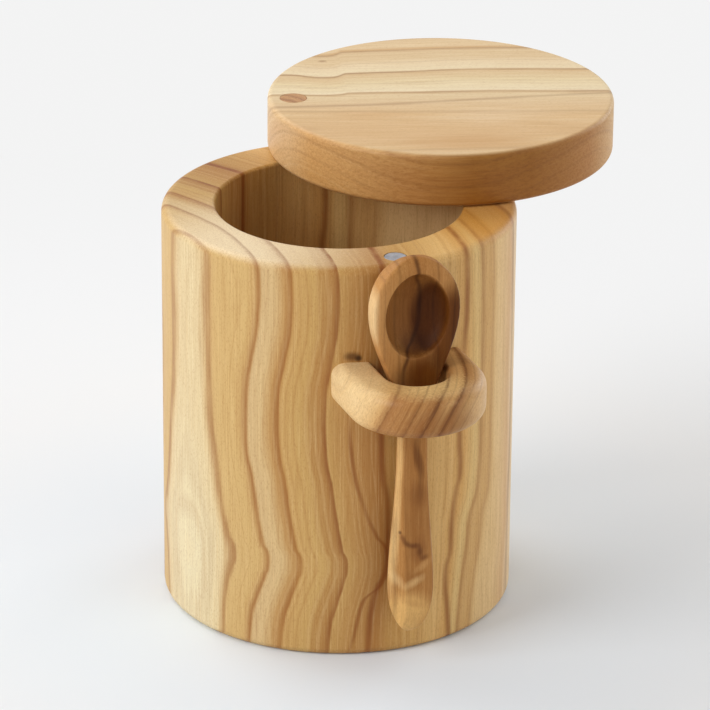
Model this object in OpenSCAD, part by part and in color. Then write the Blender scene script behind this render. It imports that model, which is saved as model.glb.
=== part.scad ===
// Round wooden box with a lid that swivels on a pin, and a spoon that hangs in a loop on its front.
// Origin at the centre of the base, +Z up, the spoon side at -Y.

/* [Body] */
// Outside diameter of the body
body_d = 102; // [84:1:126]
// Height of the body from the table to the rim
body_h = 120; // [98:1:150]
// Thickness of the wall around the cavity
wall_t = 15.5; // [13:0.5:22]
// Thickness of the floor under the cavity
floor_t = 12; // [6:0.5:20]
// Rounding of the rim's outer edge
rim_round = 2.6; // [0.6:0.1:4]
// Rounding of the rim's inner edge
mouth_round = 1; // [0.4:0.1:2]
// Rounding of the edge that stands on the table
base_round = 2.4; // [0.6:0.1:4]
// Rounding between the cavity's wall and floor
floor_round = 7; // [2:0.5:12]

/* [Lid] */
// Thickness of the lid
lid_t = 16; // [12:0.5:22]
// Rounding of the lid's edges
lid_round = 1.6; // [0.6:0.1:4]
// Gap between the rim and the lid that turns above it
lid_gap = 0.3; // [0.1:0.05:0.6]
// Angle by which the lid stands open
lid_open = 77.5; // [0:0.5:180]

/* [Pivot] */
// Diameter of the pivot dowel
dowel_d = 8; // [5:0.5:9]
// Distance of the dowel's axis from the outside of the wall
dowel_edge = 7.4; // [6.4:0.1:8]
// Angle of the dowel from the point opposite the spoon
dowel_turn = 2.5; // [-15:0.5:15]
// Depth to which the dowel reaches into the wall
dowel_reach = 28; // [15:1:50]
// Running clearance around the dowel
dowel_play = 0.05; // [0.02:0.01:0.1]
// Space under the dowel's end
dowel_end_gap = 0.5; // [0.3:0.1:2]

/* [Magnets] */
// Diameter of the two magnets
magnet_d = 6.35; // [4:0.05:8]
// Thickness of each magnet
magnet_t = 3; // [1.5:0.5:5]
// Distance of the magnets' axes from the outside of the wall and the lid
magnet_edge = 6.4; // [6:0.1:9]
// Depth of each magnet's face below the wood around it
magnet_sink = 0.1; // [0.05:0.05:0.5]

/* [Spoon loop] */
// Distance from the rim down to the loop's top
loop_drop = 28.4; // [20:0.2:60]
// Height of the loop
loop_h = 12.7; // [8:0.1:20]
// Width of the loop's opening
opening_w = 18.4; // [15.2:0.1:22.4]
// Thickness of the loop around the opening
loop_t = 10.6; // [8:0.1:14]
// Length of the loop's straight legs in front of the wall
leg_l = 10; // [8:0.5:20]
// Rounding of the loop's outer edges
loop_round = 3.4; // [1:0.1:4]
// Rounding of the opening's edges
opening_round = 1; // [0.4:0.1:1.6]

/* [Loop dowels] */
// Diameter of the dowels that hold the loop
peg_d = 6; // [4:0.5:7]
// Depth of each dowel in the wall
peg_in_wall = 8; // [5:0.5:9]
// Depth of each dowel in the loop's leg
peg_in_leg = 8; // [5:0.5:12]

/* [Spoon] */
// Height of the spoon's lower end above the table
spoon_foot = 10.4; // [3:0.1:20]
// Width of the bowl
bowl_w = 26.6; // [24:0.2:32]
// Length from the tip of the bowl to its widest place
crown_l = 15.4; // [12:0.2:20]
// Length from the tip of the bowl to the narrowest part of the neck
neck_at = 54; // [46:0.5:62]
// Width of the neck
neck_w = 9.2; // [7:0.1:11]
// Width of the handle at its widest
handle_w = 13.9; // [9:0.1:16]
// Place of the handle's widest part, as a share of the length from the neck to the end
handle_widest = 0.72; // [0.5:0.01:0.85]
// Thickness of the bowl
bowl_t = 8.6; // [8:0.1:11]
// Thickness of the handle
handle_t = 7.8; // [5:0.1:9]
// Width of the hollow
hollow_w = 18.8; // [14:0.2:20]
// Length of the hollow
hollow_l = 25; // [18:0.5:28]
// Depth of the hollow
hollow_depth = 6.2; // [4:0.1:6.6]
// Distance from the tip of the bowl to the hollow
hollow_from_tip = 4.4; // [3:0.1:8]
// Clearance between the bowl's flanks and the opening they rest in
seat_gap = 0.3; // [0.2:0.05:0.6]
// Distance between the wall and the spoon's back
spoon_stand = 2.5; // [1:0.1:4]

/* [Hidden] */

round_fn = 96;
edge_fn = 40;
// How far a cutting shape reaches past what it cuts
cut_margin = 1;
body_r = body_d / 2;
cavity_r = body_r - wall_t;
lid_z = body_h + lid_gap;
dowel_offset = body_r - dowel_edge;
dowel_xy = [dowel_offset * sin(dowel_turn), dowel_offset * cos(dowel_turn)];
dowel_low = body_h - dowel_reach;
bore_d = dowel_d + 2 * dowel_play;
magnet_offset = body_r - magnet_edge;

loop_top = body_h - loop_drop;
loop_low = loop_top - loop_h;
loop_y = -(body_r + leg_l);
opening_r = opening_w / 2;
loop_r = opening_r + loop_t;
leg_x = opening_r + loop_t / 2;
peg_wall_y = -sqrt(body_r * body_r - leg_x * leg_x);
peg_z = (loop_top + loop_low) / 2;

// Share of the section's thickness that lies in front of its widest line
front_share = 0.4;
spoon_widest_y = -(body_r + spoon_stand + (1 - front_share) * bowl_t);
spoon_front_y = spoon_widest_y - front_share * bowl_t;
// The bowl narrows to the opening's width where the opening's edge rounding starts
seat_half_w = opening_r - seat_gap;
seat_fall = (seat_half_w - neck_w / 2) / (bowl_w / 2 - neck_w / 2);
seat_from_tip = crown_l + (neck_at - crown_l) * acos(2 * seat_fall - 1) / 180;
spoon_top = loop_top - opening_round + seat_from_tip;
spoon_l = spoon_top - spoon_foot;
handle_widest_at = neck_at + handle_widest * (spoon_l - neck_at);

stations = 42;
section_points = 28;
// The cosine spacing of the stations starts and ends this angle short of the spoon's ends
station_trim = 2;
// Lengths over which the spoon's thickness rounds off at its tip and at its end
tip_round = 6;
end_round = 9;

// From 1 at u = 0 to 0 at u = 1, level at both ends
function fall(u) = (1 + cos(180 * u)) / 2;

// A quarter of an ellipse: 0 at u = 0, 1 from u = 1 on
function dome(u) = sqrt(max(0, 1 - pow(max(0, 1 - u), 2)));

// Half the spoon's width at the distance s from the bowl's tip
function spoon_half_w(s) =
    s < crown_l ? bowl_w / 2 * dome(s / crown_l) :
    s < neck_at ? neck_w / 2 + (bowl_w - neck_w) / 2 * fall((s - crown_l) / (neck_at - crown_l)) :
    s < handle_widest_at ?
        handle_w / 2 - (handle_w - neck_w) / 2 * fall((s - neck_at) / (handle_widest_at - neck_at)) :
    handle_w / 2 * dome((spoon_l - s) / (spoon_l - handle_widest_at));

// The spoon's thickness at the distance s from the bowl's tip
function spoon_thickness(s) =
    (handle_t + (bowl_t - handle_t) * fall(min(1, max(0, (s - crown_l) / (neck_at - crown_l)))))
    * dome(s / tip_round) * dome((spoon_l - s) / end_round);

// Exponents of the rounded section: high is boxy, 2 is an ellipse
bowl_front_power = 5;
handle_front_power = 2.6;
back_power = 2.4;
function front_power(s) =
    handle_front_power + (bowl_front_power - handle_front_power) * fall(min(1, s / neck_at));

function signed_power(v, e) = sign(v) * pow(abs(v), e);

function spoon_section(s) = [
    for (i = [0:section_points - 1])
        let (
            a = 360 * i / section_points,
            e = 2 / (sin(a) < 0 ? front_power(s) : back_power),
            share = sin(a) < 0 ? front_share : 1 - front_share
        )
        [
            spoon_half_w(s) * signed_power(cos(a), e),
            spoon_widest_y + share * spoon_thickness(s) * signed_power(sin(a), e),
            spoon_top - s
        ]
];

// Distances from the tip, closer together towards both ends
spoon_stations = [
    for (i = [0:stations])
        spoon_l * (1 - cos(station_trim + (180 - 2 * station_trim) * i / stations)) / 2
];

module spoon_blank() {
    n = section_points;
    rings = [for (s = spoon_stations) each spoon_section(s)];
    sides = [
        for (k = [0:stations - 1], i = [0:n - 1])
            let (a = k * n + i, b = k * n + (i + 1) % n)
            each [[a, b, b + n], [a, b + n, a + n]]
    ];
    top = [for (i = [1:n - 2]) [0, i + 1, i]];
    bottom = [for (i = [1:n - 2]) [stations * n, stations * n + i, stations * n + i + 1]];
    polyhedron(points = rings, faces = concat(sides, top, bottom), convexity = 4);
}

// Half outline of a round block of radius r between two heights, with its outer corners rounded
module block_profile(r, low, high, low_round, high_round) {
    difference() {
        translate([0, low])
            square([r, high - low]);
        corner_cut(r, low, low_round, -1);
        corner_cut(r, high, high_round, 1);
    }
}

// What a rounding takes off a corner at [r, z]; side is 1 for an upper corner and -1 for a lower one
module corner_cut(r, z, e, side) {
    difference() {
        translate([r - e, side > 0 ? z - e : z - cut_margin])
            square([e + cut_margin, e + cut_margin]);
        translate([r - e, z - side * e])
            circle(r = e, $fn = edge_fn);
    }
}

// What rounds the mouth's inner edge: the corner between the cavity's wall and the rim
module mouth_cut() {
    difference() {
        translate([cavity_r - cut_margin, body_h - mouth_round])
            square([mouth_round + cut_margin, mouth_round + cut_margin]);
        translate([cavity_r + mouth_round, body_h - mouth_round])
            circle(r = mouth_round, $fn = edge_fn);
    }
}

module body() {
    color([0.79, 0.60, 0.38])
    difference() {
        rotate_extrude($fn = round_fn)
            difference() {
                block_profile(body_r, 0, body_h, base_round, rim_round);
                block_profile(cavity_r, floor_t, body_h + cut_margin, floor_round, 0);
                mouth_cut();
            }
        translate([dowel_xy[0], dowel_xy[1], dowel_low - dowel_end_gap])
            cylinder(d = bore_d, h = dowel_reach + dowel_end_gap + cut_margin, $fn = round_fn);
        translate([0, -magnet_offset, body_h - magnet_sink - magnet_t])
            cylinder(d = magnet_d, h = magnet_t + magnet_sink + cut_margin, $fn = round_fn);
        peg_pair();
    }
}

// Turns what is drawn for the shut lid to where the lid stands
module opened() {
    translate([dowel_xy[0], dowel_xy[1], 0])
        rotate([0, 0, lid_open])
            translate([-dowel_xy[0], -dowel_xy[1], 0])
                children();
}

module lid() {
    color([0.83, 0.65, 0.42])
    opened()
        difference() {
            translate([0, 0, lid_z])
                rotate_extrude($fn = round_fn)
                    block_profile(body_r, 0, lid_t, lid_round, lid_round);
            translate([dowel_xy[0], dowel_xy[1], lid_z - cut_margin])
                cylinder(d = dowel_d, h = lid_t + 2 * cut_margin, $fn = round_fn);
            translate([0, -magnet_offset, lid_z - cut_margin])
                cylinder(d = magnet_d, h = magnet_t + magnet_sink + cut_margin, $fn = round_fn);
        }
}

module pivot_dowel() {
    color([0.62, 0.40, 0.22])
    translate([dowel_xy[0], dowel_xy[1], dowel_low])
        cylinder(d = dowel_d, h = lid_z + lid_t - dowel_low, $fn = round_fn);
}

module rim_magnet() {
    color([0.58, 0.60, 0.63])
    translate([0, -magnet_offset, body_h - magnet_sink - magnet_t])
        cylinder(d = magnet_d, h = magnet_t, $fn = round_fn);
}

module lid_magnet() {
    color([0.58, 0.60, 0.63])
    opened()
        translate([0, -magnet_offset, lid_z + magnet_sink])
            cylinder(d = magnet_d, h = magnet_t, $fn = round_fn);
}

// Section of the loop, from the opening outwards, centred on its height
module loop_section() {
    difference() {
        translate([opening_r, loop_low])
            square([loop_t, loop_h]);
        corner_cut(loop_r, loop_low, loop_round, -1);
        corner_cut(loop_r, loop_top, loop_round, 1);
        mirror([1, 0]) {
            corner_cut(-opening_r, loop_low, opening_round, -1);
            corner_cut(-opening_r, loop_top, opening_round, 1);
        }
    }
}

module loop_leg() {
    translate([0, loop_y, 0])
        rotate([-90, 0, 0])
            mirror([0, 1, 0])
                linear_extrude(height = leg_l + body_r / 2)
                    loop_section();
}

module spoon_loop() {
    color([0.80, 0.58, 0.34])
    difference() {
        union() {
            translate([0, loop_y, 0])
                rotate([0, 0, 180])
                    rotate_extrude(angle = 180, $fn = round_fn)
                        loop_section();
            loop_leg();
            mirror([1, 0, 0])
                loop_leg();
        }
        translate([0, 0, loop_low - cut_margin])
            cylinder(r = body_r, h = loop_h + 2 * cut_margin, $fn = round_fn);
        peg_pair();
    }
}

module peg_pair() {
    for (side = [-1, 1])
        translate([side * leg_x, peg_wall_y + peg_in_wall, peg_z])
            rotate([90, 0, 0])
                cylinder(d = peg_d, h = peg_in_wall + peg_in_leg, $fn = round_fn);
}

module loop_pegs() {
    color([0.72, 0.52, 0.32])
    peg_pair();
}

module spoon() {
    color([0.66, 0.43, 0.24])
    difference() {
        spoon_blank();
        translate([0, spoon_front_y, spoon_top - hollow_from_tip - hollow_l / 2])
            scale([hollow_w / 2, hollow_depth, hollow_l / 2])
                rotate([90, 0, 0])
                    sphere(r = 1, $fn = round_fn);
    }
}

body();
lid();
pivot_dowel();
rim_magnet();
lid_magnet();
spoon_loop();
loop_pegs();
spoon();
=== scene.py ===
import math

import bmesh
import bpy
from mathutils import Matrix, Quaternion, Vector


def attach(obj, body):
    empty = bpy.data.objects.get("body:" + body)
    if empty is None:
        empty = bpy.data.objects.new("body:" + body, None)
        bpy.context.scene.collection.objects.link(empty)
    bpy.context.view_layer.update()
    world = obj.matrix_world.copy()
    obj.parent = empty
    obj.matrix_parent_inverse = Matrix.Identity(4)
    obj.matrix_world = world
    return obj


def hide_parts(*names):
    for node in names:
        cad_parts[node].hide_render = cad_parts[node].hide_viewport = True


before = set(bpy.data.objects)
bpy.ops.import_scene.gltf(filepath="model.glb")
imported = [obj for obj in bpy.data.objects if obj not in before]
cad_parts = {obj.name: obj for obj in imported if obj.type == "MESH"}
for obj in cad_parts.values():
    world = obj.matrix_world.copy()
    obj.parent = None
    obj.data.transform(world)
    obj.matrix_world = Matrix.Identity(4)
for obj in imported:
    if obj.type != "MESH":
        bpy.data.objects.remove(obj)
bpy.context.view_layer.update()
mm = 0.001
hair = 0.01              # mm, how near counts as lying on a plane or a ring
overshoot = 5            # mm that a cutting tool reaches past the wood
print("frame loaded")


def startFresh():
    if bpy.context.object and bpy.context.object.mode != "OBJECT":
        bpy.ops.object.mode_set(mode="OBJECT")
    bpy.ops.object.select_all(action="DESELECT")


def takeUp(piece):
    startFresh()
    piece.select_set(True)
    bpy.context.view_layer.objects.active = piece


def settle(name):
    # the new object gets its name, and its place goes into its mesh
    piece = bpy.context.active_object
    piece.name = name
    bpy.ops.object.transform_apply(location=True, rotation=True, scale=True)
    return piece


def editMode(piece):
    takeUp(piece)
    bpy.ops.object.mode_set(mode="EDIT")
    bpy.ops.mesh.select_all(action="DESELECT")


def pick(piece, kind, test):
    # selects the vertices, edges or faces that pass the test, in edit mode
    bpy.ops.mesh.select_mode(type=kind)
    bpy.ops.mesh.select_all(action="DESELECT")
    mesh = bmesh.from_edit_mesh(piece.data)
    for part in {"VERT": mesh.verts, "EDGE": mesh.edges, "FACE": mesh.faces}[kind]:
        if test(part):
            part.select_set(True)
    mesh.select_flush_mode()
    bmesh.update_edit_mesh(piece.data)


def applyModifier(piece, kind, settings):
    modifier = piece.modifiers.new(kind.lower(), kind)
    for name, value in settings.items():
        setattr(modifier, name, value)
    takeUp(piece)
    bpy.ops.object.modifier_apply(modifier=modifier.name)


def carve(piece, tool):
    applyModifier(piece, "BOOLEAN", {"object": tool, "operation": "DIFFERENCE", "solver": "EXACT"})
    bpy.data.objects.remove(tool)


def addRod(name, radius, low, high, centre=(0, 0), sides=128):
    # an upright cylinder between two heights, all in millimetres
    startFresh()
    bpy.ops.mesh.primitive_cylinder_add(
        vertices=sides, radius=radius * mm, depth=(high - low) * mm,
        location=(centre[0] * mm, centre[1] * mm, (low + high) / 2 * mm))
    return settle(name)


def bevel(rounding, affect):
    # rounding is (width in mm, segments)
    bpy.ops.mesh.bevel(offset=rounding[0] * mm, segments=rounding[1], affect=affect)


def onRing(radius, height, centre=(0, 0)):
    # true for an edge that lies on the circle of that radius and height
    def test(edge):
        return all(
            abs(math.hypot(v.co.x / mm - centre[0], v.co.y / mm - centre[1]) - radius) < 2 * hair
            and abs(v.co.z / mm - height) < 2 * hair for v in edge.verts)
    return test


def roundRing(piece, radius, height, rounding, centre=(0, 0)):
    pick(piece, "EDGE", onRing(radius, height, centre))
    bevel(rounding, "EDGES")


def shadeTurned(piece, sharpAngle=35):
    takeUp(piece)
    bpy.ops.object.shade_smooth_by_angle(angle=math.radians(sharpAngle))
    applyModifier(piece, "WEIGHTED_NORMAL", {"keep_sharp": True})


class Signal:
    # a socket that can stand in a sum
    def __init__(self, sheet, socket):
        self.sheet = sheet
        self.socket = socket

    def other(self, name):
        return Signal(self.sheet, self.socket.node.outputs[name])

    def maths(self, operation, first, second):
        return self.sheet.add("ShaderNodeMath", {"operation": operation}, {0: first, 1: second})

    def __add__(self, value):
        return self.maths("ADD", self, value)

    def __sub__(self, value):
        return self.maths("SUBTRACT", self, value)

    def __rsub__(self, value):
        return self.maths("SUBTRACT", value, self)

    def __mul__(self, value):
        return self.maths("MULTIPLY", self, value)

    def __truediv__(self, value):
        return self.maths("DIVIDE", self, value)

    def __abs__(self):
        return self.maths("ABSOLUTE", self, 0)

    __radd__ = __add__
    __rmul__ = __mul__


class Sheet:
    # the node sheet of a material or of the world
    def __init__(self, owner):
        owner.use_nodes = True
        owner.node_tree.nodes.clear()
        self.owner = owner
        self.tree = owner.node_tree

    def add(self, kind, settings, inputs, output=0):
        node = self.tree.nodes.new(kind)
        for name, value in settings.items():
            if name == "stops":
                setStops(node.color_ramp, value)
            elif name == "points":
                setPoints(node.mapping, value)
            else:
                setattr(node, name, value)
        for key, value in inputs.items():
            if isinstance(value, Signal):
                self.tree.links.new(value.socket, node.inputs[key])
            else:
                node.inputs[key].default_value = value
        return Signal(self, node.outputs[output]) if node.outputs else None

    def rise(self, value, low, high, start=0.0, end=1.0):
        return self.add("ShaderNodeMapRange", {"interpolation_type": "SMOOTHSTEP"}, {
            "Value": value, "From Min": low, "From Max": high, "To Min": start, "To Max": end})

    def noise(self, place, stretch, detail=2.0, roughness=0.5):
        scaled = self.add("ShaderNodeVectorMath", {"operation": "MULTIPLY"}, {0: place, 1: stretch})
        return self.add("ShaderNodeTexNoise", {}, {
            "Vector": scaled, "Scale": 1.0, "Detail": detail, "Roughness": roughness})

    def stripes(self, distance, scale, detail=2.0, roughness=0.5):
        return self.add("ShaderNodeTexNoise", {"noise_dimensions": "1D"}, {
            "W": distance, "Scale": scale, "Detail": detail, "Roughness": roughness})

    def path(self, value, points):
        # a smooth line through (place, height) points
        low, high = points[0][0], points[-1][0]
        bottom = min(p[1] for p in points)
        top = max(max(p[1] for p in points), bottom + 0.001)
        scaled = [((p[0] - low) / (high - low), (p[1] - bottom) / (top - bottom)) for p in points]
        curve = self.add("ShaderNodeFloatCurve", {"points": scaled},
                         {"Value": (value - low) / (high - low)})
        return curve * (top - bottom) + bottom

    def ramp(self, value, stops):
        low, high = stops[0][0], stops[-1][0]
        scaled = [((place - low) / (high - low), colour) for place, colour in stops]
        return self.add("ShaderNodeValToRGB", {"stops": scaled}, {0: (value - low) / (high - low)})

    def blend(self, share, first, second, kind="MIX"):
        # sockets 6, 7 and 2 are the Mix node's two colours and its colour result
        return self.add("ShaderNodeMix", {"data_type": "RGBA", "blend_type": kind},
                        {0: share, 6: first, 7: second}, 2)

    def finish(self, surface, kind="ShaderNodeOutputMaterial"):
        self.add(kind, {}, {"Surface": surface})
        return self.owner


def setStops(ramp, stops):
    ramp.elements.remove(ramp.elements[1])
    for number, (place, colour) in enumerate(stops):
        element = ramp.elements[0] if number == 0 else ramp.elements.new(place)
        element.position = place
        element.color = colour


def setPoints(mapping, points):
    line = mapping.curves[0].points
    line[0].location = points[0]
    line[1].location = points[-1]
    for point in points[1:-1]:
        line.new(*point)
    mapping.update()


def tone(red, green, blue):
    # a paint colour from 0-255 to the linear values a shader takes
    def linear(value):
        share = value / 255
        return share / 12.92 if share <= 0.04045 else ((share + 0.055) / 1.055) ** 2.4
    return (linear(red), linear(green), linear(blue), 1.0)


def shadeOf(grey):
    return (grey, grey, grey, 1.0)


def wear(piece, material):
    piece.data.materials.clear()
    piece.data.materials.append(material)


camera = {
    "place": (-439.58, -1161.49, 604.52),  # mm
    "aim": (4.581, -1.755, 72.127),  # mm, the point it looks at
    "roll": 0.467,  # degrees
    "lens": 235.66,  # mm
    "sensor": 36,
}


def setCamera(look):
    startFresh()
    bpy.ops.object.camera_add(location=Vector(look["place"]) * mm)
    eye = bpy.context.active_object
    eye.name = "photoCamera"
    ahead = Vector(look["aim"]) - Vector(look["place"])
    turn = ahead.to_track_quat("-Z", "Y") @ Quaternion((0, 0, 1), math.radians(look["roll"]))
    eye.rotation_euler = turn.to_euler()
    eye.data.lens = look["lens"]
    eye.data.sensor_width = look["sensor"]
    eye.data.clip_start = 10 * mm
    bpy.context.scene.camera = eye


studio = {
    "lamps": {  # places and sizes in metres
        "leftWindow": {"place": (-1.45, -0.35, 0.95), "size": 1.2, "watts": 17.5},
        "backWindow": {"place": (-0.6, 1.2, 1.3), "size": 1.2, "watts": 11.0},
        "frontFill": {"place": (1.2, -1.3, 0.7), "size": 1.4, "watts": 5.5},
        "rightEdge": {"place": (1.35, 0.55, 0.45), "size": 0.8, "watts": 6.0},
    },
    "roomLight": 0.47,  # light from all round
    "white": 0.9,  # the background as the camera sees it
    "nearCoolAgainstBounce": (0.80, 0.85, 0.90, 1.0),  # floor under the box, painted a little cool to cancel the warm light that the wood throws on it
    "farShade": (0.855, 0.86, 0.865, 1.0),  # floor further out
    "shadeSpan": (0.07, 0.16),  # metres from the box where the one turns into the other
    "lampAim": (0, 0, 0.08),  # all lamps point here
    "floorSize": 16,  # metres
    "floorRough": 0.6,
    "floorShine": 0.2,
    "floorNear": 0.12,  # metres, from here the floor fades out
    "floorFar": 0.37,  # and from here it is as white as the background
}


def setStudio(look):
    for name, lamp in look["lamps"].items():
        startFresh()
        bpy.ops.object.light_add(type="AREA", location=lamp["place"])
        light = bpy.context.active_object
        light.name = name
        light.data.shape = "DISK"
        light.data.size = lamp["size"]
        light.data.energy = lamp["watts"]
        ahead = Vector(look["lampAim"]) - Vector(lamp["place"])
        light.rotation_euler = ahead.to_track_quat("-Z", "Y").to_euler()
    sheet = Sheet(bpy.data.worlds.new("paleRoom"))
    eyeRays = sheet.add("ShaderNodeLightPath", {}, {}, "Is Camera Ray")
    seen = eyeRays.maths("MAXIMUM", eyeRays, eyeRays.other("Is Glossy Ray"))
    plain, pale = (
        sheet.add("ShaderNodeBackground", {}, {"Color": shadeOf(1.0), "Strength": strength})
        for strength in (look["roomLight"], look["white"]))
    room = sheet.add("ShaderNodeMixShader", {}, {0: seen, 1: plain, 2: pale})
    bpy.context.scene.world = sheet.finish(room, "ShaderNodeOutputWorld")


def setFloor(look):
    startFresh()
    bpy.ops.mesh.primitive_plane_add(size=look["floorSize"])
    floor = settle("floor")
    sheet = Sheet(bpy.data.materials.new("paleFloor"))
    spot = sheet.add("ShaderNodeTexCoord", {}, {}, "Object")
    away = sheet.add("ShaderNodeVectorMath", {"operation": "LENGTH"}, {0: spot}, "Value")
    seen = sheet.add("ShaderNodeLightPath", {}, {}, "Is Camera Ray")
    far = seen * sheet.rise(away, look["floorNear"], look["floorFar"])
    shade = sheet.blend(sheet.rise(away, *look["shadeSpan"]), look["nearCoolAgainstBounce"], look["farShade"])
    stone = sheet.add("ShaderNodeBsdfPrincipled", {}, {
        "Base Color": shade, "Roughness": look["floorRough"],
        "Specular IOR Level": look["floorShine"]})
    glow = sheet.add("ShaderNodeEmission", {}, {"Color": shadeOf(1.0), "Strength": look["white"]})
    wear(floor, sheet.finish(sheet.add("ShaderNodeMixShader", {}, {0: far, 1: stone, 2: glow})))


bpy.context.scene.view_settings.view_transform = "Standard"
setCamera(camera)
setStudio(studio)
setFloor(studio)
print("camera, lamps and floor set")


def turnTo(along, across):
    # the turn that puts a pattern's Z along the fibres and its X across them
    z = Vector(along).normalized()
    x = Vector(across)
    x = (x - z * x.dot(z)).normalized()
    return Matrix((x, z.cross(x), z)).transposed().to_euler()


# where each noise starts and ends to show, for every wood
grainSpans = {
    "pores": (0.5, 0.72),
    "fineDark": (0.5, 0.75),
    "finePale": (0.3, 0.48, 1.0, 0.0),
    "streak": (0.35, 0.7),
    "threadDark": (0.5, 0.72),
    "threadPale": (0.28, 0.48, 1.0, 0.0),
    "breaks": (0.25, 0.6, 0.55, 1.0),    # a line fades to 0.55 of its strength, never away
    "rough": (0.3, 0.7),
    "sideStreaks": (0.42, 0.66),
    "cloud": (0.3, 0.7),                 # the last two are the magnets'
    "grit": (0.55, 0.75),
}
fineDrift = 3.0          # the fine rings stray more than the broad ones
drawnDrift = 0.8         # for drawn lines that give none of their own
poreDepth = 0.5          # against the height of the fibres
bumpDepth = 0.0002       # metres
roughSpread = (-0.05, 0.07)
coatRough = 0.3


def softSpot(place, size, shade, dark, turn=(0, 0, 0), ragged=0.8, soft=0.5, kind="MIX"):
    # a stain, a knot, painted shade or a painted highlight: an ellipsoid round a place in mm, its
    # colour and how strongly it covers
    return {"place": place, "size": size, "tone": shade, "dark": dark,
            "turn": turn, "ragged": ragged, "soft": soft, "kind": kind}


def addSpots(sheet, spot, fibre, colour, spots):
    for look in spots:
        local = sheet.add("ShaderNodeMapping", {"vector_type": "TEXTURE"}, {
            "Vector": spot, "Location": Vector(look["place"]) * mm,
            "Rotation": [math.radians(angle) for angle in look["turn"]],
            "Scale": Vector(look["size"]) * mm})
        gap = sheet.add("ShaderNodeVectorMath", {"operation": "LENGTH"}, {0: local}, "Value")
        gap = gap + (fibre - 0.5) * look["ragged"]
        mask = sheet.rise(gap, 1 - look["soft"], 1.0, 1.0, 0.0)
        colour = sheet.blend(mask * look["dark"], colour, tone(*look["tone"]), look["kind"])
    return colour


def addDrawnLines(sheet, along, ring, drift, breaks, colour, look):
    # single lines that follow the photograph: ring distance against height along the fibres
    for drawn in look.get("drawn", []):
        gap = abs(ring + drift * drawn.get("drift", drawnDrift) - sheet.path(along, drawn["line"]))
        low, high, fade = drawn["ends"]
        inside = (sheet.rise(along, low, low + fade)
                  * sheet.rise(along, high - fade, high, 1.0, 0.0))
        mask = sheet.rise(gap, 0.0, drawn["width"], 1.0, 0.0) * inside * drawn["dark"] * breaks
        colour = sheet.blend(mask, colour, tone(*look["lineTone"]))
    return colour


def darkenSideWithShade(sheet, spot, along, across, fibre, colour, rim):
    # a lid's turned side is darker than its flat faces, partly as oiled end grain and partly as
    # painted shade, and its tone changes along the fibres as painted shade, darkest where the side
    # faces away from the lamps
    local = sheet.add("ShaderNodeMapping", {"vector_type": "TEXTURE"}, {
        "Vector": spot, "Location": Vector(rim["centre"]) * mm, "Scale": (mm, mm, mm)})
    flat = sheet.add("ShaderNodeVectorMath", {"operation": "MULTIPLY"}, {0: local, 1: (1, 1, 0)})
    away = sheet.add("ShaderNodeVectorMath", {"operation": "LENGTH"}, {0: flat}, "Value")
    share = sheet.rise(away, rim["start"], rim["end"]) * sheet.rise(across, *rim["behind"])
    sideShade = sheet.ramp(along, [(place, tone(*shade)) for place, shade in rim["tones"]])
    colour = sheet.blend(share, colour, sideShade, "MULTIPLY")
    streaks = sheet.rise(fibre, *grainSpans["sideStreaks"]) * share * rim["streaks"]
    return sheet.blend(streaks, colour, tone(*rim["streakTone"]), "MULTIPLY")


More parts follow.
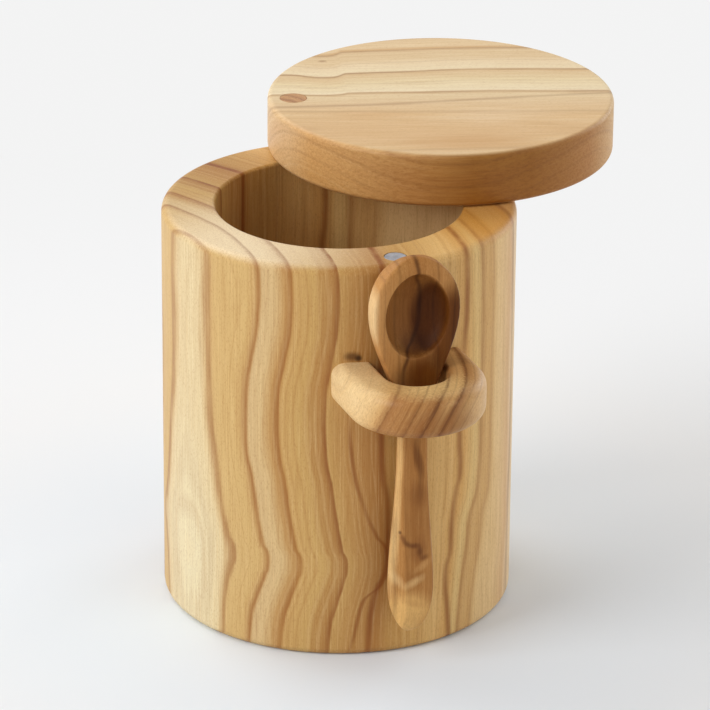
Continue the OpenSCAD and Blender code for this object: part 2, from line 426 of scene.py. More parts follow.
def woodFinish(name, look):
    # rings round a heart axis, through the whole block, with fibres that run along the axis
    sheet = Sheet(bpy.data.materials.new(name))
    dark, pale, line = (tone(*look[key]) for key in ("darkTone", "paleTone", "lineTone"))
    spot = sheet.add("ShaderNodeTexCoord", {}, {}, "Object")
    grain = sheet.add("ShaderNodeMapping", {"vector_type": "TEXTURE"}, {
        "Vector": spot, "Location": Vector(look["heart"]) * mm,
        "Rotation": turnTo(look["along"], look["across"]), "Scale": (mm, mm, mm)})
    across = sheet.add("ShaderNodeSeparateXYZ", {}, {0: grain}, "X")
    along = across.other("Z")
    flat = sheet.add("ShaderNodeVectorMath", {"operation": "MULTIPLY"}, {0: grain, 1: (1, 1, 0)})
    trueRing = sheet.add("ShaderNodeVectorMath", {"operation": "LENGTH"}, {0: flat}, "Value")
    drift = sheet.noise(grain, look["driftSize"], 2.0) - 0.5
    fibre = sheet.noise(grain, look["fibre"], 3.0, 0.6)
    ring = trueRing + drift * look["drift"] + (fibre - 0.5) * look["jitter"]
    for wander in look.get("wander", []):
        ring = ring - sheet.path(along, wander["line"]) * sheet.path(trueRing, wander["reach"])

    def cover(noise, span, share, shade):
        return sheet.blend(sheet.rise(noise, *grainSpans[span]) * share, colour, shade)

    colour = sheet.ramp(ring, [(place, tone(*shade)) for place, shade in look["ground"]])
    fine = sheet.stripes(ring + drift * fineDrift, look["fineRings"], 3.0, 0.65)
    colour = cover(fine, "fineDark", look["fineDark"], dark)
    colour = cover(fine, "finePale", look["finePale"], pale)
    colour = addSpots(sheet, spot, fibre, colour, look.get("stainsAndLight", []))
    colour = cover(fibre, "streak", look["streak"], dark)
    thread = sheet.noise(grain, look["thread"], 3.0, 0.7)
    colour = cover(thread, "threadDark", look["threads"], dark)
    colour = cover(thread, "threadPale", look["threads"], pale)
    pores = sheet.rise(sheet.noise(grain, look["pore"], 2.0, 0.6), *grainSpans["pores"])
    colour = sheet.blend(pores * look["pores"], colour, dark)
    breaks = sheet.rise(sheet.noise(grain, look["breaks"], 2.0), *grainSpans["breaks"])
    lines = sheet.ramp(ring, [(place, shadeOf(share)) for place, share in look["lines"]])
    colour = sheet.blend(lines * breaks, colour, line)
    colour = addDrawnLines(sheet, along, trueRing, drift, breaks, colour, look)
    colour = addSpots(sheet, spot, fibre, colour, look.get("marksAndShade", []))
    if "rim" in look:
        colour = darkenSideWithShade(sheet, spot, along, across, fibre, colour, look["rim"])
    bump = sheet.add("ShaderNodeBump", {}, {
        "Strength": look["bump"], "Distance": bumpDepth, "Height": fibre - pores * poreDepth})
    rough = sheet.rise(
        fibre, *grainSpans["rough"], *(look["rough"] + spread for spread in roughSpread))
    surface = sheet.add("ShaderNodeBsdfPrincipled", {}, {
        "Base Color": colour, "Roughness": rough, "Normal": bump, "Coat Weight": look["coat"],
        "Coat Roughness": coatRough, "Specular IOR Level": look["shine"]})
    return sheet.finish(surface)


# All lengths are in mm and all tones are 0-255. In a wood, a first number in "ground", "lines" and
# "reach" is a distance from the heart, and in "line" and "tones" a place along the fibres.
boxBody = {
    "radius": 51,
    "height": 120,
    "wall": 15.5,  # thickness
    "floor": 12,  # thickness
    "rimRounding": (2.6, 8),  # width and segments, as in every rounding
    "mouthRounding": (1.0, 5),
    "baseRounding": (2.4, 6),
    "floorRounding": (7, 8),
    "sides": 224,
    "wood": {
        "heart": (-124.9, -27.4, 0),  # a point of the axis that the rings run round
        "along": (0, 0, 1),
        "across": (1, 0, 0),
        "drift": 2.2,  # how far the rings stray
        "driftSize": (0.035, 0.035, 0.014),
        "wander": [  # bends that the lines in the photograph make
            {
                "line": [
                    (-2, -2.0), (6, -1.6), (17, 0.6), (24, 2.6), (28.5, 3.4), (33, 2.2),
                    (42, 0.8), (53, -0.6), (66, -2.4), (76, -2.6), (90, -1.2), (104, 0.7),
                    (111, 1.0), (121, 0.2),
                ],
                "reach": [
                    (74, 0.0), (80, 0.12), (86, 0.9), (100, 1.0), (112, 1.0), (126, 0.3),
                    (180, 0.3),
                ],
            },
            {
                "line": [
                    (-2, -6.4), (15, -5.4), (34, -3.4), (48, 0.4), (67, 1.6), (90, 1.2),
                    (121, 0.2),
                ],
                "reach": [(74, 0.0), (130, 0.0), (142, 0.7), (152, 1.0), (160, 0.2), (180, 0.1)],
            },
            {
                "line": [
                    (-2, 0.9), (9, 1.0), (27, 1.2), (41, 0.5), (59, -0.4), (78, -1.2), (97, -1.6),
                    (112, -1.7), (121, -1.8),
                ],
                "reach": [(74, 0.9), (80, 1.0), (83.5, 0.5), (86, 0.0), (110, 0.0), (182, 0.0)],
            },
        ],
        "ground": [  # tones from ring to ring
            (74, (232, 221, 184)), (78.6, (225, 204, 158)), (79.6, (200, 163, 107)),
            (81, (208, 174, 114)), (85, (207, 172, 111)), (87.6, (187, 144, 87)),
            (88.4, (210, 180, 130)), (91, (209, 178, 126)), (93.6, (191, 149, 91)),
            (95.6, (180, 132, 71)), (96.4, (198, 158, 96)), (101, (200, 162, 97)),
            (106.6, (175, 128, 70)), (108.4, (192, 151, 88)), (112, (186, 141, 80)),
            (121, (172, 121, 62)), (124, (188, 143, 79)), (130, (196, 152, 86)),
            (140, (222, 180, 113)), (146, (213, 164, 95)), (149.6, (226, 192, 126)),
            (151.6, (208, 165, 103)), (156.4, (211, 168, 106)), (158.6, (227, 192, 134)),
            (163, (224, 188, 134)), (165.4, (212, 170, 118)), (167.4, (230, 202, 158)),
            (182, (224, 194, 148)),
        ],
        "lines": [  # how dark the narrow lines are
            (74, 0.0), (76.6, 0.0), (77.2, 0.22), (77.6, 0.0), (79.0, 0.05), (79.8, 0.62),
            (80.3, 0.0), (86.2, 0.0), (87.5, 0.5), (87.9, 0.0), (93.6, 0.02), (95.5, 0.55),
            (95.9, 0.0), (106.4, 0.1), (107.7, 0.95), (108.1, 0.0), (133.2, 0.0), (133.6, 0.3),
            (134.0, 0.0), (150.8, 0.0), (151.6, 0.4), (152.8, 0.0), (155.6, 0.0), (156.4, 0.25),
            (157.2, 0.0), (182, 0.0),
        ],
        "drawn": [  # lines that keep their own course
            {
                "line": [
                    (0, 112.0), (5, 113.4), (17, 116.2), (25, 122.8), (31, 123.2), (37, 120.3),
                    (48, 115.9), (60, 113), (80, 111.6),
                ],
                "width": 1.1,
                "dark": 0.7,
                "ends": (-4, 78, 14),
            },
            {
                "line": [
                    (0, 118), (7, 118.1), (15, 118.9), (22, 120.7), (30, 123.2), (46, 123.2),
                    (56, 121.7), (67, 121.1), (121, 121.0),
                ],
                "width": 1.7,
                "dark": 0.85,
                "ends": (-4, 125, 4),
            },
            {
                "line": [
                    (0, 142.8), (10, 142.1), (21, 141.4), (28, 142.9), (37, 143.2), (47, 144.6),
                    (54, 145.8), (62, 145.4), (92, 146.4), (104, 147.2), (121, 146.6),
                ],
                "width": 1.6,
                "dark": 0.72,
                "ends": (-4, 125, 4),
            },
            {
                "line": [(0, 167.0), (30, 167.4), (60, 168.2), (90, 167.8), (121, 167)],
                "width": 1.5,
                "dark": 0.5,
                "ends": (-4, 125, 4),
            },
        ],
        "marksAndShade": [  # on top of the grain
            softSpot((-14.2, -48.9, 93.4), (3.6, 3.6, 2.0), (92, 56, 26), 0.8, ragged=0.4,
                     soft=0.8),
            softSpot((-12.6, -49.4, 92.8), (1.5, 2.4, 1.4), (52, 30, 14), 0.85, ragged=0.3,
                     soft=0.8),
        ],
        "stainsAndLight": [  # under the grain
            softSpot((-38, -22, 121.2), (52, 48, 3.0), (252, 232, 194), 0.8, ragged=0.1,
                     soft=0.7),
            softSpot((40, -26, 120.6), (30, 40, 3.4), (194, 127, 22), 0.7, ragged=0.1, soft=0.7),
        ],
        "jitter": 0.7,  # raggedness of the rings
        "fibre": (1.7, 1.7, 0.06),  # noise scales, across, across and along
        "pore": (3.2, 3.2, 1.1),
        "breaks": (0.2, 0.2, 0.05),
        "thread": (2.8, 2.8, 0.05),
        "threads": 0.26,  # strength of the fine threads
        "fineRings": 0.7,  # fine rings to a mm
        "fineDark": 0.26,
        "finePale": 0.16,
        "streak": 0.13,  # strength of the dark fibres
        "pores": 0.3,  # strength of the small dark specks
        "darkTone": (156, 98, 40),
        "paleTone": (236, 204, 148),
        "lineTone": (132, 70, 22),
        "bump": 0.12,
        "rough": 0.46,
        "coat": 0.03,
        "shine": 0.22,  # specular level
    },
}


def makeBody(look):
    radius, height = look["radius"], look["height"]
    piece = addRod("boxBody", radius, 0, height, sides=look["sides"])
    editMode(piece)
    pick(piece, "FACE", lambda face: face.normal.z > 0.9)
    bpy.ops.mesh.inset(thickness=look["wall"] * mm)
    bpy.ops.mesh.extrude_region_move(
        TRANSFORM_OT_translate={"value": (0, 0, (look["floor"] - height) * mm)})
    mouth = radius - look["wall"] / math.cos(math.pi / look["sides"])    # to the inset's corners
    roundRing(piece, radius, height, look["rimRounding"])
    roundRing(piece, mouth, height, look["mouthRounding"])
    roundRing(piece, mouth, look["floor"], look["floorRounding"])
    roundRing(piece, radius, 0, look["baseRounding"])
    bpy.ops.object.mode_set(mode="OBJECT")
    return piece


lidCentre = (43.98, 32.29)
swivelLid = {
    "radius": 51,
    "low": 120.3,
    "high": 136.3,
    "rounding": (1.6, 8),
    "centre": lidCentre,
    "sides": 224,
    "wood": {
        "heart": (lidCentre[0] - 9.1, lidCentre[1] - 28.6, 100.3),
        "along": (0.9527, -0.304, 0),
        "across": (0.304, 0.9527, 0),
        "drift": 3.0,
        "driftSize": (0.03, 0.03, 0.012),
        "wander": [
            {
                "line": [
                    (-60, -1.5), (-47, -1.0), (-38, -2.6), (-33, -3.2), (-27, -0.5), (-10, 0.6),
                    (13, 1.8), (35, 1.4), (60, 1.0),
                ],
                "reach": [(20, 0.0), (42, 0.1), (58, 1.0), (100, 1.0)],
            },
        ],
        "ground": [
            (24, (214, 172, 118)), (30, (218, 178, 126)), (35, (213, 174, 124)),
            (38, (218, 182, 131)), (42, (222, 191, 146)), (46, (228, 203, 159)),
            (47.6, (218, 185, 136)), (48.2, (236, 218, 180)), (54, (230, 208, 163)),
            (58, (222, 193, 146)), (60.6, (216, 183, 134)), (61.4, (234, 214, 174)),
            (66, (233, 210, 170)), (70, (224, 196, 151)), (76, (227, 198, 151)),
            (78, (210, 171, 119)), (80, (227, 198, 153)), (90, (219, 188, 143)),
            (104, (211, 177, 128)),
        ],
        "lines": [
            (24, 0.0), (27.8, 0.0), (28.6, 0.2), (29, 0.0), (32.6, 0.0), (33.6, 0.25), (34, 0.0),
            (38.6, 0.0), (39.4, 0.22), (39.9, 0.0), (46.6, 0.05), (47.5, 0.6), (47.9, 0.0),
            (52.4, 0.0), (53.0, 0.16), (53.5, 0.0), (59.6, 0.05), (60.6, 0.68), (61.1, 0.0),
            (67.2, 0.0), (67.8, 0.18), (68.2, 0.0), (76.2, 0.1), (77.3, 0.55), (77.9, 0.0),
            (85, 0.0), (85.8, 0.3), (86.2, 0.0), (104, 0.0),
        ],
        "drawn": [
            {
                "line": [
                    (-60, 41.0), (-49, 41.2), (-24, 41.8), (13, 44.1), (50, 46.6), (60, 47.0),
                ],
                "width": 0.9,
                "dark": 0.38,
                "ends": (-60, 58, 8),
            },
        ],
        "marksAndShade": [softSpot((21.1, 70.8, 136.3), (1.9, 1.4, 1.6), (146, 98, 56), 0.55, soft=0.8)],
        "stainsAndLight": [
            softSpot((52, 10, 136.3), (26, 9, 4), (236, 210, 172), 0.35, turn=(0, 0, -14),
                     ragged=0.5, soft=0.9),
            softSpot((18, 22, 136.3), (20, 6, 4), (206, 160, 104), 0.4, turn=(0, 0, -22),
                     ragged=0.5, soft=0.9),
            softSpot((36, -8, 136.3), (32, 9, 4), (194, 142, 82), 0.5, turn=(0, 0, -18),
                     ragged=0.5, soft=0.9),
        ],
        "jitter": 0.7,
        "fibre": (1.5, 1.5, 0.06),
        "pore": (3.2, 3.2, 1.0),
        "breaks": (0.15, 0.15, 0.04),
        "thread": (2.6, 2.6, 0.05),
        "threads": 0.2,
        "fineRings": 0.7,
        "fineDark": 0.16,
        "finePale": 0.12,
        "streak": 0.12,
        "pores": 0.28,
        "darkTone": (176, 130, 80),
        "paleTone": (240, 220, 184),
        "lineTone": (138, 92, 52),
        "rim": {
            "centre": (lidCentre[0], lidCentre[1], 0),
            "start": 49.6,
            "end": 50.9,
            "behind": (20, 52, 1.0, 0.4),  # across the fibres, where the dark side fades
            "streaks": 0.2,
            "streakTone": (196, 164, 128),
            "tones": [  # painted shade: the side is multiplied by these, light at both ends and darkest in the middle, where it faces away from the lamps
                (-54, (255, 255, 255)), (-46, (255, 255, 255)), (-40, (248, 234, 208)),
                (-29, (243, 227, 199)), (-12, (215, 188, 151)), (6, (175, 139, 75)),
                (23, (176, 138, 68)), (41, (209, 179, 137)), (50, (243, 235, 213)),
            ],
        },
        "bump": 0.1,
        "rough": 0.44,
        "coat": 0.03,
        "shine": 0.24,
    },
}
pivotPin = {
    "radius": 4,
    "centre": (1.902, 43.558),
    "low": 92,
    "high": 136.3,
    "edge": (0.25, 3),
    "sides": 64,
    "play": 0.05,  # gap all round in its bore
    "reach": 28.5,  # depth of the body's bore
    "wood": {
        "heart": (-6.5, 38.0, 0),
        "along": (0, 0, 1),
        "across": (1, 0, 0),
        "drift": 1.0,
        "driftSize": (0.3, 0.3, 0.05),
        "ground": [
            (0, (196, 143, 89)), (6, (200, 147, 93)), (8, (168, 114, 64)), (9.4, (204, 153, 97)),
            (11, (176, 122, 70)), (12.4, (198, 147, 93)), (16, (180, 128, 74)),
        ],
        "lines": [
            (0, 0.0), (7, 0.0), (7.6, 0.4), (8, 0.0), (10.4, 0.0), (10.9, 0.4), (11.3, 0.0),
            (16, 0.0),
        ],
        "jitter": 0.9,
        "fibre": (2.5, 2.5, 0.1),
        "pore": (7.0, 7.0, 0.3),
        "breaks": (0.6, 0.6, 0.1),
        "thread": (4.0, 4.0, 0.05),
        "threads": 0.2,
        "fineRings": 1.6,
        "fineDark": 0.35,
        "finePale": 0.2,
        "streak": 0.25,
        "pores": 0.35,
        "darkTone": (132, 84, 42),
        "paleTone": (206, 160, 108),
        "lineTone": (104, 62, 30),
        "bump": 0.15,
        "rough": 0.45,
        "coat": 0.08,
        "shine": 0.32,
    },
}
magnet = {
    "radius": 3.175,
    "thick": 3,
    "sink": 0.1,  # below the wood
    "offset": 44.6,  # from the body's axis
    "edge": (0.2, 3),
    "sides": 64,
    "play": 0.12,
    "turn": 77.5,  # degrees from the shut lid to the photograph
    "metal": {
        "cloud": 420,
        "cloudTones": [(150, 153, 160), (176, 178, 184)],
        "grit": 2600,
        "gritTone": (118, 120, 126),
        "gritShare": 0.5,
        "metallic": 0.75,
        "rough": (0.4, 0.58),
        "bump": 0.15,
    },
}


def makeLid(look):
    piece = addRod(
        "swivelLid", look["radius"], look["low"], look["high"], look["centre"], look["sides"])
    editMode(piece)
    for height in (look["low"], look["high"]):
        roundRing(piece, look["radius"], height, look["rounding"], look["centre"])
    bpy.ops.object.mode_set(mode="OBJECT")
    return piece


def makeDisc(name, look, low, high, centre):
    # a short rod with eased edges at both ends
    piece = addRod(name, look["radius"], low, high, centre, look["sides"])
    editMode(piece)
    for height in (low, high):
        roundRing(piece, look["radius"], height, look["edge"], centre)
    bpy.ops.object.mode_set(mode="OBJECT")
    shadeTurned(piece)
    return piece


def bore(piece, look, low, high, centre):
    # a hole for a pin or a magnet, with its play
    tool = addRod("bore", look["radius"] + look["play"], low, high, centre, look["sides"])
    carve(piece, tool)


def turnedAbout(point, centre, degrees):
    angle = math.radians(degrees)
    x, y = point[0] - centre[0], point[1] - centre[1]
    return (centre[0] + x * math.cos(angle) - y * math.sin(angle),
            centre[1] + x * math.sin(angle) + y * math.cos(angle))


def magnetFinish(look):
    sheet = Sheet(bpy.data.materials.new("greyMagnet"))
    spot = sheet.add("ShaderNodeTexCoord", {}, {}, "Object")
    grit = sheet.noise(spot, [look["grit"]] * 3, 3.0, 0.6)
    cloud = sheet.noise(spot, [look["cloud"]] * 3, 2.0)
    darker, paler = (tone(*shade) for shade in look["cloudTones"])
    colour = sheet.blend(sheet.rise(cloud, *grainSpans["cloud"]), darker, paler)
    pits = sheet.rise(grit, *grainSpans["grit"]) * look["gritShare"]
    colour = sheet.blend(pits, colour, tone(*look["gritTone"]))
    rough = sheet.rise(grit, *grainSpans["rough"], *look["rough"])
    bump = sheet.add("ShaderNodeBump", {}, {
        "Strength": look["bump"], "Distance": bumpDepth / 2, "Height": grit})
    return sheet.finish(sheet.add("ShaderNodeBsdfPrincipled", {}, {
        "Base Color": colour, "Metallic": look["metallic"], "Roughness": rough, "Normal": bump}))


body = makeBody(boxBody)
lid = makeLid(swivelLid)
rim, lidLow = boxBody["height"], swivelLid["low"]
magnetDeep = magnet["sink"] + magnet["thick"]
rimMagnetAt = (0, -magnet["offset"])
lidMagnetAt = turnedAbout(rimMagnetAt, pivotPin["centre"], magnet["turn"])
bore(body, pivotPin, rim - pivotPin["reach"], rim + overshoot, pivotPin["centre"])
bore(body, magnet, rim - magnetDeep, rim + overshoot, rimMagnetAt)
bore(lid, pivotPin, lidLow - overshoot, swivelLid["high"] + overshoot, pivotPin["centre"])
bore(lid, magnet, lidLow - overshoot, lidLow + magnetDeep, lidMagnetAt)
shadeTurned(body)
shadeTurned(lid)
pin = makeDisc("pivotPin", pivotPin, pivotPin["low"], pivotPin["high"], pivotPin["centre"])
rimMagnet = makeDisc("rimMagnet", magnet, rim - magnetDeep, rim - magnet["sink"], rimMagnetAt)
lidMagnet = makeDisc(
    "lidMagnet", magnet, lidLow + magnet["sink"], lidLow + magnetDeep, lidMagnetAt)
wear(body, woodFinish("bodyOlive", boxBody["wood"]))
wear(lid, woodFinish("lidOlive", swivelLid["wood"]))
wear(pin, woodFinish("pinWood", pivotPin["wood"]))
greyMagnet = magnetFinish(magnet["metal"])
wear(rimMagnet, greyMagnet)
wear(lidMagnet, greyMagnet)
print("body, lid, pin and magnets made")


spoonLoop = {
    "top": 91.6,
    "height": 12.7,
    "centreY": -61,
    "opening": 9.2,  # half its width
    "thick": 10.6,  # of the wood round it
    "rounding": (3.8, 8),
    "innerRounding": (1.0, 4),
    "legStart": -44,
    "wallRadius": 51,  # its legs end on the wall
    "steps": 40,
    "voxel": 0.32,
    "smoothing": 10,
    "sharpAngle": 40,
    "wood": {
        "heart": (-93.5, -44, 54),
        "along": (0.5, 0, 0.866),
        "across": (0.866, 0, -0.5),
        "drift": 1.6,
        "driftSize": (0.06, 0.06, 0.03),
        "ground": [
            (40, (240, 214, 166)), (52, (234, 202, 148)), (56, (226, 190, 134)),
            (59, (206, 162, 104)), (61, (160, 110, 62)), (63, (172, 122, 70)),
            (66.6, (168, 118, 66)), (67.9, (146, 98, 52)), (68.8, (174, 126, 74)),
            (70.8, (164, 114, 64)), (72.2, (130, 84, 44)), (73.2, (172, 124, 72)),
            (75, (200, 154, 96)), (76.4, (136, 88, 46)), (77.4, (172, 124, 74)),
            (79.2, (198, 154, 98)), (82, (216, 176, 122)), (90, (222, 188, 138)),
        ],
        "lines": [
            (40, 0.0), (60.2, 0.0), (61.0, 0.35), (61.4, 0.0), (63.4, 0.0), (63.7, 0.25),
            (64, 0.0), (65.5, 0.0), (65.8, 0.3), (66.1, 0.0), (67.6, 0.0), (68, 0.5), (68.3, 0.0),
            (69.6, 0.0), (69.9, 0.3), (70.1, 0.0), (71.7, 0.05), (72.4, 0.7), (72.8, 0.0),
            (74, 0.0), (74.3, 0.3), (74.6, 0.0), (76, 0.0), (76.6, 0.6), (77, 0.0), (78.4, 0.0),
            (78.7, 0.35), (79, 0.0), (80.7, 0.0), (81, 0.3), (81.3, 0.0), (90, 0.0),
        ],
        "stainsAndLight": [
            # the loop's top is paler, partly in its wood and partly as painted light from above
            softSpot((0, -72, 93.4), (17, 13, 4.6), (242, 204, 138), 0.85, ragged=0.3, soft=0.7),
            softSpot((22, -66, 84), (5.5, 14, 9), (224, 180, 116), 0.6, ragged=0.3, soft=0.8),
            softSpot((2, -82, 82), (19, 10, 9), (130, 74, 24), 0.58, ragged=0.3, soft=0.8),
        ],
        "jitter": 0.9,
        "fibre": (1.6, 1.6, 0.06),
        "pore": (3.4, 3.4, 0.9),
        "breaks": (0.3, 0.3, 0.06),
        "thread": (3.0, 3.0, 0.06),
        "threads": 0.18,
        "fineRings": 1.5,
        "fineDark": 0.16,
        "finePale": 0.14,
        "streak": 0.18,
        "pores": 0.3,
        "darkTone": (144, 84, 28),
        "paleTone": (226, 180, 112),
        "lineTone": (92, 48, 14),
        "bump": 0.12,
        "rough": 0.42,
        "coat": 0.04,
        "shine": 0.2,
    },
}


def makeLoop(look):
    # the cross-section at the end of one leg, drawn along the leg, round the bend and back
    startFresh()
    middle = look["opening"] + look["thick"] / 2
    height = look["top"] - look["height"] / 2
    bpy.ops.mesh.primitive_plane_add(
        size=mm, rotation=(math.radians(90), 0, 0),
        location=(middle * mm, look["legStart"] * mm, height * mm))
    piece = bpy.context.active_object
    piece.scale = (look["thick"], look["height"], 1)
    piece = settle("spoonLoop")
    editMode(piece)
    pick(piece, "VERT", lambda v: v.co.x > middle * mm)
    bevel(look["rounding"], "VERTICES")
    edge = (look["opening"] + hair) * mm
    pick(piece, "VERT", lambda v: v.co.x < edge)
    bevel(look["innerRounding"], "VERTICES")
    leg = (look["centreY"] - look["legStart"]) * mm
    bpy.ops.mesh.select_mode(type="FACE")
    bpy.ops.mesh.select_all(action="SELECT")
    bpy.ops.mesh.extrude_region_move(TRANSFORM_OT_translate={"value": (0, leg, 0)})
    bpy.ops.mesh.spin(steps=look["steps"], angle=math.pi, axis=(0, 0, 1),
                      center=(0, look["centreY"] * mm, 0))
    bpy.ops.mesh.extrude_region_move(TRANSFORM_OT_translate={"value": (0, -leg, 0)})
    bpy.ops.mesh.select_all(action="SELECT")
    bpy.ops.mesh.remove_doubles(threshold=hair * mm / 10)
    bpy.ops.mesh.normals_make_consistent(inside=False)
    bpy.ops.object.mode_set(mode="OBJECT")
    applyModifier(piece, "REMESH", {"mode": "VOXEL", "voxel_size": look["voxel"] * mm})
    applyModifier(piece, "SMOOTH", {"factor": 0.5, "iterations": look["smoothing"]})
    low, high = look["top"] - look["height"] - overshoot, look["top"] + overshoot
    carve(piece, addRod("wallCut", look["wallRadius"], low, high, sides=boxBody["sides"]))
    takeUp(piece)
    bpy.ops.object.shade_smooth_by_angle(angle=math.radians(look["sharpAngle"]))
    return piece


loop = makeLoop(spoonLoop)
wear(loop, woodFinish("loopOlive", spoonLoop["wood"]))
print("spoon loop made")


spoonShape = {
    "top": 125.44,  # height of the tip of the bowl
    "length": 115,
    "bowlWidth": 25.8,
    "crown": 15.4,  # from the tip to the widest place
    "neckAt": 51,
    "neckWidth": 7.5,
    "handleWidth": 12.5,
    "handleEnd": 15,
    "late": 1.35,  # above 1, the handle widens later
    "bowlThick": 8.2,
    "handleThick": 7.2,
    "tipRound": 6,
    "endRound": 9,
    "widestY": -58.66,
    "frontShare": 0.4,  # of the thickness in front of widestY
    "frontCorner": (0.5, 2),
    "backCorner": (3.0, 5),
    "stations": 46,
    "spread": (2, 178),  # degrees, stations stand closer at both ends
    "voxel": 0.28,
    "smoothing": 3,
    "hollow": {"size": (9.4, 6.2, 12.5), "fromTip": 4.4, "segments": 72, "rings": 48},
    "facet": {
        "place": (-3.3, -61.5, 45),
        "facing": (-0.742, -0.671, -0.028),
        "size": (14, 8, 76),
    },
    "wood": {
        "heart": (100, -60, 0),
        "along": (0, 0, 1),
        "across": (1, 0, 0),
        "drift": 2.4,
        "driftSize": (0.09, 0.09, 0.025),
        "ground": [
            (84, (204, 158, 102)), (88, (184, 134, 78)), (93, (176, 124, 70)),
            (97, (174, 121, 66)), (99.4, (166, 112, 58)), (101, (168, 114, 60)),
            (104, (176, 124, 68)), (107, (182, 129, 72)), (111, (190, 138, 82)),
            (112.4, (226, 190, 138)), (116, (238, 208, 158)),
        ],
        "lines": [
            (84, 0.0), (88.6, 0.0), (89, 0.3), (89.5, 0.0), (93.4, 0.0), (94, 0.35), (94.6, 0.0),
            (104.4, 0.0), (105, 0.3), (105.6, 0.0), (109, 0.0), (109.5, 0.2), (110, 0.0),
            (116, 0.0),
        ],
        "drawn": [
            {
                "line": [
                    (82, 103.6), (88, 104.0), (91.6, 104.0), (95, 103.2), (97.5, 102.0),
                    (100, 99.8), (107, 97.5), (114, 97.6), (120, 99.5), (127, 100.2),
                ],
                "width": 1.1,
                "dark": 0.72,
                "ends": (78, 132, 6),
                "drift": 0.3,
            },
            {
                "line": [(48, 98.2), (56, 98.4), (64, 98.9), (72, 99.4), (82, 101.4)],
                "width": 1.2,
                "dark": 0.3,
                "ends": (50, 82, 8),
                "drift": 0.6,
            },
        ],
        "marksAndShade": [
            # painted shade over darker wood: the whole hollow, deeper to the right and at its
            # bottom, then where the bowl narrows above the loop and along the bowl's right edge
            softSpot((0, -59, 108.54), (9.9, 8, 13), (202, 188, 168), 1.0, ragged=0.1, soft=0.12,
                     kind="MULTIPLY"),
            softSpot((10.2, -54, 103), (11.6, 12, 22), (158, 132, 92), 1.0, ragged=0.1, soft=0.25,
                     kind="MULTIPLY"),
            softSpot((1.5, -54, 95.5), (11, 10, 9), (140, 116, 80), 1.0, ragged=0.1, soft=0.7,
                     kind="MULTIPLY"),
            softSpot((2.0, -62, 90), (10.6, 8, 10), (170, 142, 92), 1.0, ragged=0.3, soft=0.8,
                     kind="MULTIPLY"),
            softSpot((13, -62, 106), (6, 8, 17), (214, 200, 176), 1.0, ragged=0.3, soft=0.8,
                     kind="MULTIPLY"),
            softSpot((-4.0, -61.3, 42.7), (0.6, 2, 0.9), (70, 38, 20), 0.8, soft=0.8),
            softSpot((-3.3, -61.5, 40.9), (1.2, 2, 2.4), (96, 50, 24), 0.6, turn=(0, -24, 0),
                     ragged=0.3, soft=0.9),
            softSpot((-2.0, -61.5, 39.1), (1.4, 2, 2.3), (90, 46, 22), 0.65, turn=(0, -50, 0),
                     ragged=0.3, soft=0.9),
            softSpot((0.1, -61.5, 38.3), (2.4, 2, 1.4), (90, 46, 22), 0.65, turn=(0, 4, 0),
                     ragged=0.3, soft=0.9),
            softSpot((1.8, -61.5, 36.3), (1.3, 2, 3.0), (90, 48, 22), 0.65, turn=(0, -3, 0),
                     ragged=0.3, soft=0.9),
            softSpot((3.1, -61.5, 34.2), (2.2, 2, 1.3), (98, 54, 26), 0.55, turn=(0, -22, 0),
                     ragged=0.3, soft=0.9),
        ],
        "stainsAndLight": [
            softSpot((1.0, -62, 64.6), (1.9, 3, 8), (104, 58, 24), 0.72, turn=(0, -13, 0),
                     ragged=0.8, soft=0.7),
            softSpot((1.2, -62, 54), (4.6, 4, 7), (116, 66, 28), 0.6, soft=0.9),
            softSpot((1.4, -62, 36.5), (4.6, 4, 6.5), (128, 76, 36), 0.55, soft=0.9),
            softSpot((1.6, -62, 45), (6.6, 4, 13), (118, 68, 30), 0.3, soft=0.9),
            softSpot((-7.3, -59, 48), (5.0, 3.8, 60), (234, 194, 132), 0.8, turn=(0, 3.5, 0),
                     ragged=0.3, soft=0.5),
            # painted highlight: the light that the handle's rounded right edge reflects
            softSpot((6.2, -60.5, 50), (2.2, 4, 44), (246, 216, 172), 0.75, turn=(0, -3, 0),
                     ragged=0.2, soft=0.7),
            softSpot((0.6, -61, 28.6), (5.2, 6, 3.4), (138, 86, 40), 0.5, ragged=0.4, soft=0.9),
            softSpot((-1.0, -60, 13.5), (10, 9, 13), (224, 178, 110), 0.85, ragged=0.3, soft=0.5),
            softSpot((-5.6, -61, 28.4), (5.0, 6, 2.4), (240, 206, 148), 0.6, turn=(0, 50, 0),
                     ragged=0.4, soft=0.95),
            softSpot((0.0, -61, 26.8), (5.4, 6, 2.0), (232, 192, 130), 0.55, turn=(0, -26, 0),
                     ragged=0.4, soft=0.95),
            softSpot((2.6, -61, 31.6), (5.2, 6, 1.7), (206, 158, 98), 0.45, turn=(0, -34, 0),
                     ragged=0.5, soft=0.95),
            softSpot((0.4, -61, 20), (5.4, 6, 1.6), (190, 140, 80), 0.5, turn=(0, 24, 0),
                     ragged=0.7, soft=0.9),
            softSpot((3.4, -61, 13), (3, 6, 6), (180, 128, 70), 0.45, turn=(0, 14, 0), ragged=0.6,
                     soft=0.9),
        ],
        "jitter": 0.9,
        "fibre": (1.5, 1.5, 0.07),
        "pore": (3.4, 3.4, 0.9),
        "breaks": (0.3, 0.3, 0.08),
        "thread": (3.0, 3.0, 0.05),
        "threads": 0.2,
        "fineRings": 0.6,
        "fineDark": 0.24,
        "finePale": 0.12,
        "streak": 0.16,
        "pores": 0.22,
        "darkTone": (128, 78, 32),
        "paleTone": (212, 164, 102),
        "lineTone": (66, 32, 12),
        "bump": 0.08,
        "rough": 0.5,
        "coat": 0.0,
        "shine": 0.12,
    },
}


def dome(share):
    # a round end: steep at 0, level at 1
    return math.sqrt(max(0.0, 1 - max(0.0, 1 - share) ** 2))


def fall(share):
    # a soft step from 1 down to 0
    return (1 + math.cos(math.pi * min(1.0, max(0.0, share)))) / 2


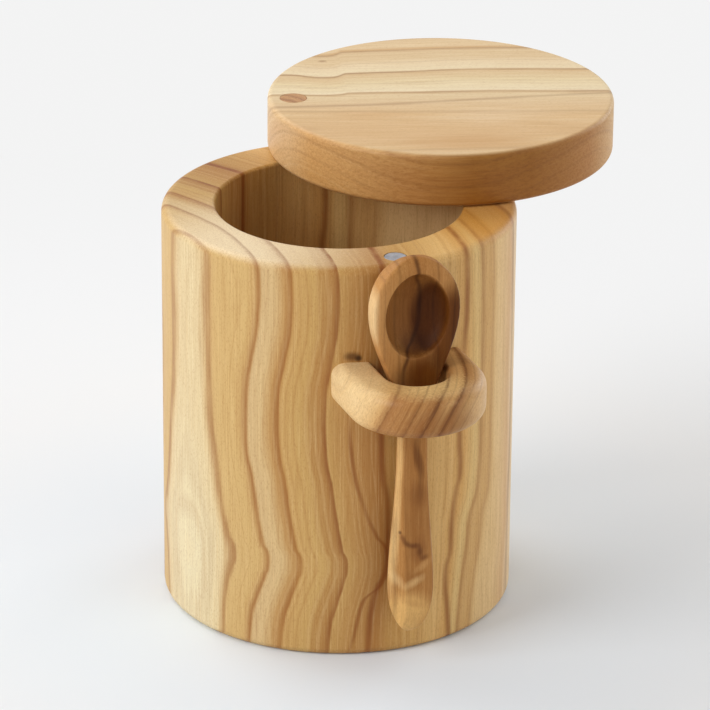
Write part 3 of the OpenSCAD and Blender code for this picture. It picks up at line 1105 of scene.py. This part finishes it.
def spoonWidth(look, s):
    # whole width at the distance s from the bowl's tip
    widest = look["length"] - look["handleEnd"]
    if s < look["crown"]:
        return look["bowlWidth"] * dome(s / look["crown"])
    if s < look["neckAt"]:
        share = (s - look["crown"]) / (look["neckAt"] - look["crown"])
        return look["neckWidth"] + (look["bowlWidth"] - look["neckWidth"]) * fall(share)
    if s < widest:
        share = ((s - look["neckAt"]) / (widest - look["neckAt"])) ** look["late"]
        return look["handleWidth"] - (look["handleWidth"] - look["neckWidth"]) * fall(share)
    return look["handleWidth"] * dome((look["length"] - s) / look["handleEnd"])


def spoonThick(look, s):
    share = (s - look["crown"]) / (look["neckAt"] - look["crown"])
    plain = look["handleThick"] + (look["bowlThick"] - look["handleThick"]) * fall(share)
    return plain * dome(s / look["tipRound"]) * dome((look["length"] - s) / look["endRound"])


def carveFacet(piece, facet):
    # the flat cut along the left of the handle
    facing = Vector(facet["facing"]).normalized()
    startFresh()
    bpy.ops.mesh.primitive_cube_add(
        size=mm, location=(Vector(facet["place"]) + facing * facet["size"][1] / 2) * mm,
        rotation=facing.to_track_quat("Y", "Z").to_euler())
    bpy.context.active_object.scale = facet["size"]
    carve(piece, settle("facetCut"))


def carveHollow(piece, look):
    hollow = look["hollow"]
    frontY = look["widestY"] - look["frontShare"] * look["bowlThick"]
    startFresh()
    bpy.ops.mesh.primitive_uv_sphere_add(
        segments=hollow["segments"], ring_count=hollow["rings"], radius=1,
        location=(0, frontY * mm, (look["top"] - hollow["fromTip"] - hollow["size"][2]) * mm))
    ball = bpy.context.active_object
    ball.scale = [s * mm for s in hollow["size"]]
    carve(piece, settle("hollow"))


def makeSpoon(look):
    # a corner-rounded plane is drawn down from tip to end, and resized at every station
    count = look["stations"]
    start, end = look["spread"]
    turns = [math.radians(start + (end - start) * i / count) for i in range(count + 1)]
    places = [look["length"] * (1 - math.cos(turn)) / 2 for turn in turns]
    width, thick = spoonWidth(look, places[count // 2]), spoonThick(look, places[count // 2])
    middleY = look["widestY"] + (0.5 - look["frontShare"]) * thick
    startFresh()
    bpy.ops.mesh.primitive_plane_add(
        size=mm, location=(0, middleY * mm, (look["top"] - places[0]) * mm))
    piece = bpy.context.active_object
    piece.scale = (width, thick, 1)
    piece = settle("hangingSpoon")
    editMode(piece)
    pick(piece, "VERT", lambda v: v.co.y < middleY * mm)
    bevel(look["frontCorner"], "VERTICES")
    back = (middleY + thick / 2 - hair) * mm
    pick(piece, "VERT", lambda v: v.co.y > back)
    bevel(look["backCorner"], "VERTICES")
    bpy.ops.mesh.select_mode(type="FACE")
    bpy.ops.mesh.select_all(action="SELECT")
    for number, place in enumerate(places):
        if number:
            drop = (places[number - 1] - place) * mm
            bpy.ops.mesh.extrude_region_move(TRANSFORM_OT_translate={"value": (0, 0, drop)})
        newWidth, newThick = spoonWidth(look, place), spoonThick(look, place)
        bpy.ops.transform.resize(
            value=(newWidth / width, newThick / thick, 1),
            center_override=(0, look["widestY"] * mm, (look["top"] - place) * mm))
        width, thick = newWidth, newThick
    bpy.ops.mesh.select_all(action="SELECT")
    bpy.ops.mesh.normals_make_consistent(inside=False)
    bpy.ops.object.mode_set(mode="OBJECT")
    carveFacet(piece, look["facet"])
    carveHollow(piece, look)
    applyModifier(piece, "REMESH", {"mode": "VOXEL", "voxel_size": look["voxel"] * mm})
    applyModifier(piece, "SMOOTH", {"factor": 0.5, "iterations": look["smoothing"]})
    takeUp(piece)
    bpy.ops.object.shade_smooth()
    return piece


spoon = makeSpoon(spoonShape)
wear(spoon, woodFinish("spoonOlive", spoonShape["wood"]))
print("spoon made")


pegWood = dict(
    pivotPin["wood"], heart=(0, -40, 70), along=(0, 1, 0), across=(1, 0, 0),
    ground=[
        (0, (188, 146, 96)), (14, (196, 154, 104)), (20, (178, 134, 84)), (30, (200, 160, 110)),
    ])
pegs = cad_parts["loop_pegs"]
wear(pegs, woodFinish("pegWood", pegWood))

for piece, carrier, node, finishSlot in (
        (body, "base", "body", "body_wood"),
        (rimMagnet, "base", "rim_magnet", "magnet_metal"),
        (loop, "base", "spoon_loop", "loop_wood"),
        (lid, "lid", "lid", "lid_wood"),
        (pin, "lid", "pivot_dowel", "dowel_wood"),
        (lidMagnet, "lid", "lid_magnet", "magnet_metal"),
        (spoon, "spoon", "spoon", "spoon_wood")):
    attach(piece, carrier)
    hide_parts(node)
startFresh()
print("pieces on their bodies")
